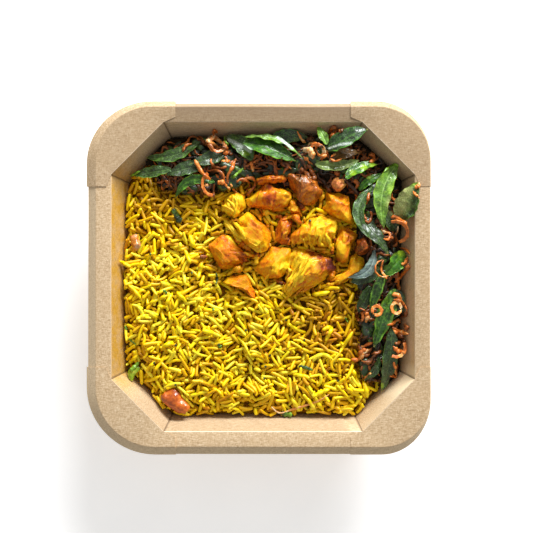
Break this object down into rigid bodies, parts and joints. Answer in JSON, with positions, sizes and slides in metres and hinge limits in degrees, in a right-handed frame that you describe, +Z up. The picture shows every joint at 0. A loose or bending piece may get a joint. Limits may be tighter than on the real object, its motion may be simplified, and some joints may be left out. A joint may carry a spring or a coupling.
{
  "type": "tray of masala chicken rice",
  "caption": "Square paperboard meal tray of yellow masala rice with chicken pieces, curry leaves and fried shallots",
  "frame": {"origin": "on the table, under the middle of the tray's outline", "axes": "+Z up; +Y towards the wall along which the leaves and shallots are heaped; +X towards the wall down which they run on"},
  "size_m": [0.181, 0.1858, 0.0451],
  "materials": {
    "board": "matte",
    "rice": "satin",
    "chicken_orange": "satin",
    "chicken_yellow": "satin",
    "chicken_charred": "satin",
    "chicken_glazed": "glossy",
    "chicken_brown": "satin",
    "chicken_pink": "satin",
    "shallot": "satin",
    "tomato": "glossy",
    "onion": "glossy",
    "chilli": "glossy",
    "leaf_dark": "satin",
    "leaf_glossy": "glossy",
    "leaf_frosted": "satin",
    "leaf_green": "satin",
    "leaf_pale": "satin",
    "leaf_lime": "satin",
    "leaf_silver": "satin",
    "leaf_brown": "satin"
  },
  "bodies": {
    "root": {"chicken_01": "chicken_brown", "chicken_02": "chicken_brown", "chicken_03": "chicken_orange", "chicken_04": "chicken_orange", "chicken_05": "chicken_orange", "chicken_06": "chicken_brown", "chicken_07": "chicken_glazed", "chicken_08": "chicken_orange", "chicken_09": "chicken_yellow", "chicken_10": "chicken_orange", "chicken_11": "chicken_orange", "chicken_12": "chicken_charred", "chicken_13": "chicken_charred", "chicken_14": "chicken_orange", "chicken_15": "chicken_yellow", "chicken_16": "chicken_orange", "chicken_17": "chicken_pink", "fried_shallots": "shallot", "green_chilli": "chilli", "leaf_01_dark": "leaf_dark", "leaf_02_dark": "leaf_dark", "leaf_03_glossy": "leaf_glossy", "leaf_04_dark": "leaf_dark", "leaf_05_dark": "leaf_dark", "leaf_06_dark": "leaf_dark", "leaf_07_dark": "leaf_dark", "leaf_08_frosted": "leaf_frosted", "leaf_09_frosted": "leaf_frosted", "leaf_10_green": "leaf_green", "leaf_11_frosted": "leaf_frosted", "leaf_12_green": "leaf_green", "leaf_13_pale": "leaf_pale", "leaf_14_brown": "leaf_brown", "leaf_15_glossy": "leaf_glossy", "leaf_16_lime": "leaf_lime", "leaf_17_green": "leaf_green", "leaf_18_green": "leaf_green", "leaf_19_dark": "leaf_dark", "leaf_20_frosted": "leaf_frosted", "leaf_21_frosted": "leaf_frosted", "leaf_22_silver": "leaf_silver", "leaf_23_green": "leaf_green", "leaf_24_green": "leaf_green", "leaf_25_lime": "leaf_lime", "leaf_26_dark": "leaf_dark", "leaf_27_dark": "leaf_dark", "leaf_28_lime": "leaf_lime", "leaf_29_lime": "leaf_lime", "onion_bit": "onion", "rice": "rice", "shallot_curl_1": "shallot", "shallot_curl_2": "shallot", "shallot_curl_3": "shallot", "shallot_curl_4": "shallot", "shallot_curl_5": "shallot", "shallot_curl_6": "shallot", "shallot_curl_7": "shallot", "shallot_curl_8": "shallot", "tomato": "tomato", "tray": "board"}
  },
  "joints": []
}
